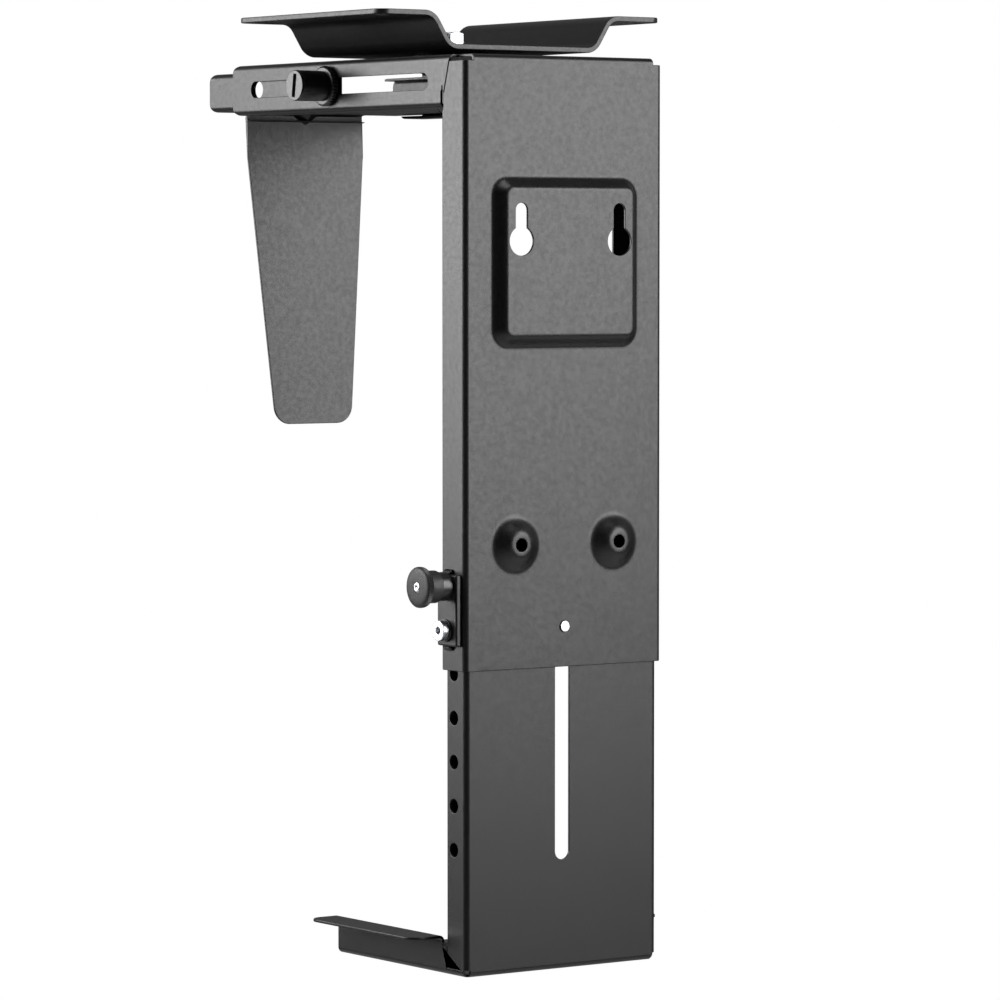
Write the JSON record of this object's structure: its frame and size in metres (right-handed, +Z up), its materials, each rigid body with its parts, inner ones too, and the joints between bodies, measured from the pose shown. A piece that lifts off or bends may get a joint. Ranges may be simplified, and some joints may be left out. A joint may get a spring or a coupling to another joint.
{
  "type": "computer_case_holder",
  "caption": "Black steel computer case holder with a swivelling desk plate, height-adjustable foot, width-adjustable clamp and wall keyholes.",
  "frame": {"origin": "on the desk face of the desk plate, on the swivel axis, which is also the centre of the four desk screws", "axes": "+Z up into the desk, +Y along the arm away from the upright panel, +X across the arm, away from the thumb screw"},
  "size_m": [0.16, 0.2246, 0.4377],
  "materials": {
    "powder_coat": "satin",
    "zinc_bright": "satin",
    "black_oxide": "satin",
    "black_nylon": "matte"
  },
  "bodies": {
    "desk_mount": {"desk_plate": "powder_coat", "pivot_bolt": "zinc_bright", "pivot_top_washer": "zinc_bright", "swivel_washer": "black_nylon", "pivot_lower_washer": "zinc_bright", "pivot_nut": "zinc_bright"},
    "frame": {"outer_frame": "powder_coat", "lock_plate": "powder_coat", "lock_plate_welds": "powder_coat", "guide_screw": "zinc_bright", "guide_washer": "zinc_bright", "plunger_housing": "black_oxide", "plunger_spring": "zinc_bright", "lock_flat_washer": "black_oxide"},
    "foot": {"foot_plate": "powder_coat"},
    "clamp": {"clamp_slider": "powder_coat", "thumb_nut": "zinc_bright"},
    "pin": {"plunger_pin": "zinc_bright", "plunger_knob": "black_nylon"},
    "lock": {"lock_screw": "zinc_bright", "lock_spring_washer": "zinc_bright"},
    "thumb": {"thumb_screw": "black_oxide", "thumb_screw_washer": "black_oxide"}
  },
  "joints": [
    {"name": "swivel", "type": "hinge", "parent": "desk_mount", "child": "frame", "pos_m": [0, 0, -0.0207], "axis": [0, 0, 1], "continuous": true},
    {"name": "height", "type": "slide", "parent": "frame", "child": "foot", "axis": [0, 0, 1], "range_m": [-0.1, 0.1]},
    {"name": "width", "type": "slide", "parent": "frame", "child": "clamp", "axis": [0, 1, 0], "range_m": [-0.075, 0.06]},
    {"name": "pin_travel", "type": "slide", "parent": "frame", "child": "pin", "axis": [1, 0, 0], "range_m": [0, 0.005]},
    {"name": "lock_screw_turn", "type": "hinge", "parent": "frame", "child": "lock", "pos_m": [-0.0585, -0.081, -0.2803], "axis": [-1, 0, 0], "continuous": true},
    {"name": "thumb_screw_turn", "type": "hinge", "parent": "clamp", "child": "thumb", "pos_m": [-0.059, 0.019, -0.0325], "axis": [-1, 0, 0], "continuous": true}
  ]
}
